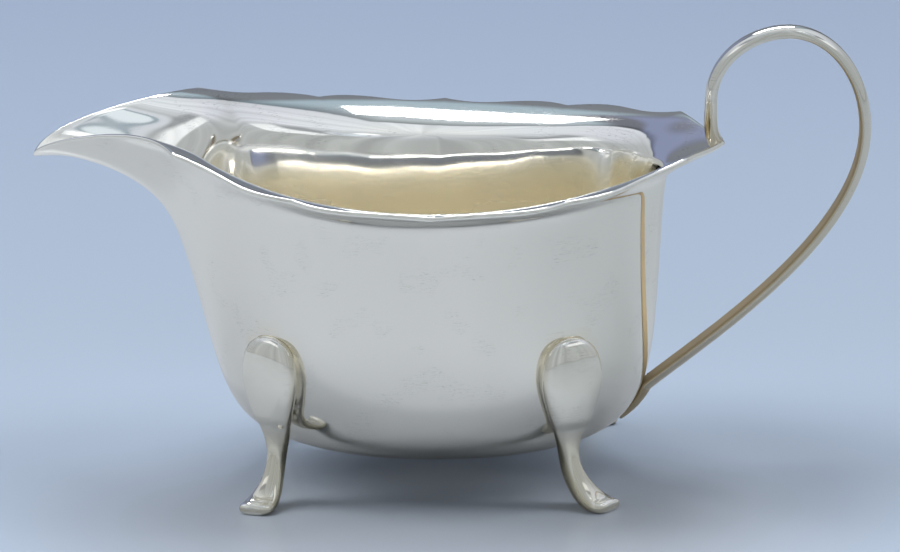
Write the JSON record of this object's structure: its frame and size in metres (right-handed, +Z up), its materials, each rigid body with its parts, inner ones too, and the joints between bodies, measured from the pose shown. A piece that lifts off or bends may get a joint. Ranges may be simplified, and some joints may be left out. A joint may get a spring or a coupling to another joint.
{
  "type": "cream jug",
  "caption": "Oval footed jug with a pouring spout, a flaring scalloped rim, a looped wire handle and bent legs, for serving cream or milk.",
  "frame": {"origin": "on the surface that the feet stand on, under the middle of the whole jug's box", "axes": "+X towards the handle, with the spout at -X, +Y to the jug's right seen from behind the handle looking at the spout, +Z up"},
  "size_m": [0.1384, 0.0774, 0.0757],
  "materials": {
    "silver": "polished silver sheet with fine wear scratches",
    "wire": "polished silver wire with a warm tarnish",
    "cast_silver": "polished silver casting"
  },
  "bodies": {
    "root": {"body": "silver", "handle": "wire", "leg_front_left": "cast_silver", "leg_rear_left": "cast_silver", "leg_front_right": "cast_silver", "leg_rear_right": "cast_silver"}
  },
  "joints": []
}
